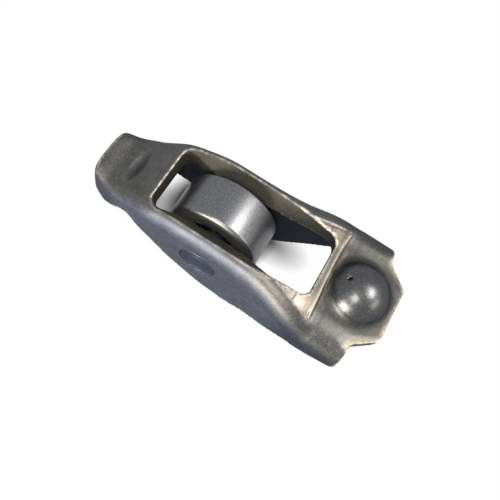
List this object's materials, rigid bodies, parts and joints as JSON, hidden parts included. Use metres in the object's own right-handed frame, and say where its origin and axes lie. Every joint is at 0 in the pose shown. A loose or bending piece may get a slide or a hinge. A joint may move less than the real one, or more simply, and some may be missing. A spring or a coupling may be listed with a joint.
{
  "type": "roller finger follower rocker arm",
  "caption": "Stamped steel finger-follower rocker arm with a needle-bearing cam roller, a domed pivot socket and a valve pad.",
  "frame": {"origin": "centre of the ball seat at the pivot end", "axes": "+X from the valve end to the pivot end, +Z towards the cam, +Y across the arm, along the roller's axis"},
  "size_m": [0.0551, 0.0238, 0.0197],
  "materials": {
    "body_steel": "tumbled satin, case-hardened grey",
    "roller_steel": "ground bright",
    "pin_steel": "ground, ends staked",
    "needle_steel": "polished, oiled"
  },
  "bodies": {
    "arm": {"rocker_body": "body_steel", "roller_pin": "pin_steel"},
    "roller_ring": {"roller": "roller_steel"},
    "needle_set": {"needle_01": "needle_steel", "needle_02": "needle_steel", "needle_03": "needle_steel", "needle_04": "needle_steel", "needle_05": "needle_steel", "needle_06": "needle_steel", "needle_07": "needle_steel", "needle_08": "needle_steel", "needle_09": "needle_steel", "needle_10": "needle_steel", "needle_11": "needle_steel", "needle_12": "needle_steel", "needle_13": "needle_steel", "needle_14": "needle_steel", "needle_15": "needle_steel", "needle_16": "needle_steel", "needle_17": "needle_steel"}
  },
  "joints": [
    {"name": "roller_spin", "type": "hinge", "parent": "arm", "child": "roller_ring", "pos_m": [-0.025, 0, -0.0043], "axis": [0, 1, 0], "continuous": true},
    {"name": "needle_orbit", "type": "hinge", "parent": "arm", "child": "needle_set", "pos_m": [-0.025, 0, -0.0043], "axis": [0, 1, 0], "continuous": true}
  ],
  "couplings": [
    {"joint": "needle_orbit", "follows": "roller_spin", "ratio": 0.593}
  ]
}
